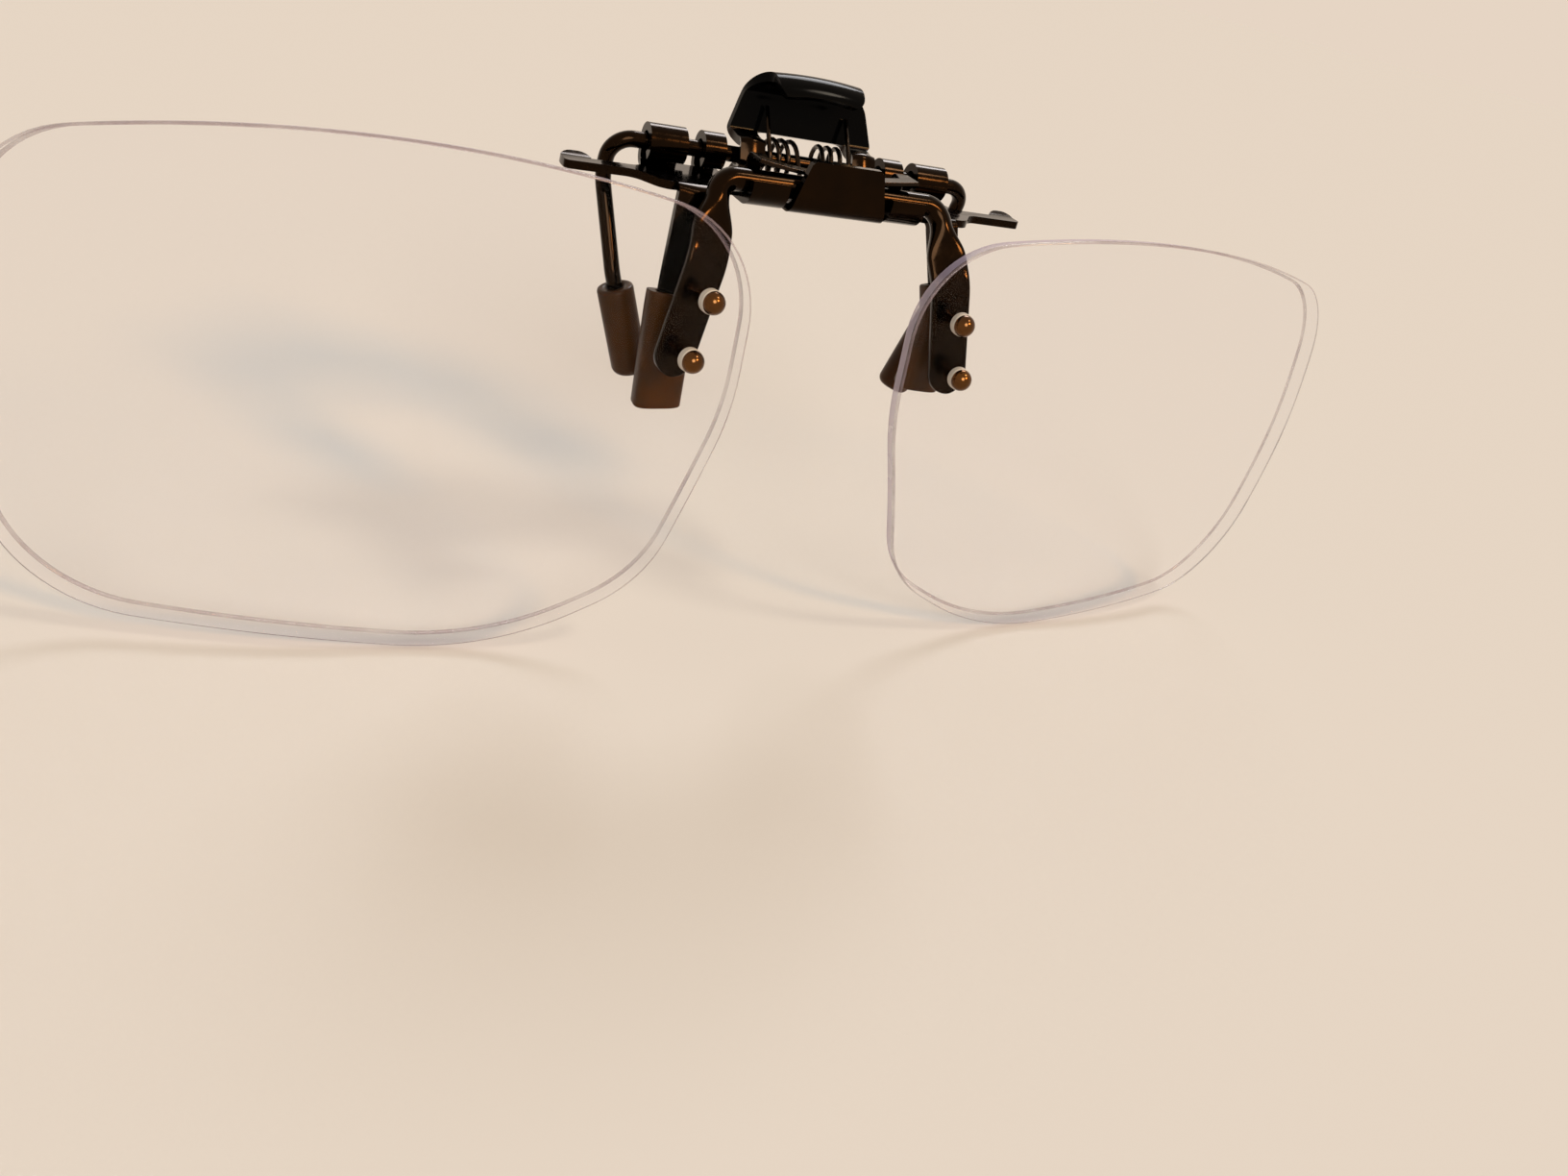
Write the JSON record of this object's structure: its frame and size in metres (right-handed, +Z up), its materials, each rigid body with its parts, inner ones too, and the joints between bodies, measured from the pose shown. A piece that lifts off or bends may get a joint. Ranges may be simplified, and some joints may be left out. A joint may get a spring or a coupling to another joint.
{
  "type": "flip-up clip-on lenses",
  "caption": "Rimless clear clip-on lenses on a bent flip wire, held by a sprung clip with rubber-sleeved prongs and a thumb tab, so that they flip up and clip onto eyeglasses.",
  "frame": {"origin": "On the plane of symmetry, at the underside of the clip's plate, midway between the front and rear grips, where the clip holds what it is put on.", "axes": "+X to the right seen from the front, along the pair of lenses; +Y to the rear, towards the wearer; +Z up."},
  "size_m": [0.132, 0.0192, 0.0508],
  "materials": {
    "gunmetal": "black-nickel plate with a warm bronze sheen, polished",
    "spring_steel": "dark tempered spring steel, bright at the edges",
    "black_lacquer": "gloss black lacquer",
    "rivet_bronze": "polished golden bronze",
    "lens_plastic": "clear moulded lens with a faint violet reflecting coat and polished edge",
    "washer_nylon": "natural nylon, satin",
    "sleeve_rubber": "amber-brown soft rubber, satin"
  },
  "bodies": {
    "bracket": {"clip_bracket": "gunmetal", "detent_leaf": "spring_steel", "front_sleeve_right": "sleeve_rubber", "front_sleeve_left": "sleeve_rubber", "jaw_spring": "spring_steel"},
    "jaw": {"jaw_wire": "gunmetal", "thumb_tab": "black_lacquer", "rear_sleeve_right": "sleeve_rubber", "rear_sleeve_left": "sleeve_rubber"},
    "lenses": {"flip_wire": "gunmetal", "lens_right": "lens_plastic", "lens_left": "lens_plastic", "upper_rivet_right": "rivet_bronze", "upper_rivet_left": "rivet_bronze", "lower_rivet_right": "rivet_bronze", "lower_rivet_left": "rivet_bronze", "upper_washer_right": "washer_nylon", "upper_washer_left": "washer_nylon", "lower_washer_right": "washer_nylon", "lower_washer_left": "washer_nylon"}
  },
  "joints": [
    {"name": "jaw_open", "type": "hinge", "parent": "bracket", "child": "jaw", "pos_m": [0, 0.006, 0.0023], "axis": [1, 0, 0], "range_deg": [-6, 30], "stiffness_Nm_per_rad": 0.06, "springref_deg": -40.11, "deforming": ["jaw_spring"]},
    {"name": "lens_flip", "type": "hinge", "parent": "bracket", "child": "lenses", "pos_m": [0, -0.0016, 0.0019], "axis": [-1, 0, 0], "range_deg": [0, 90]}
  ]
}
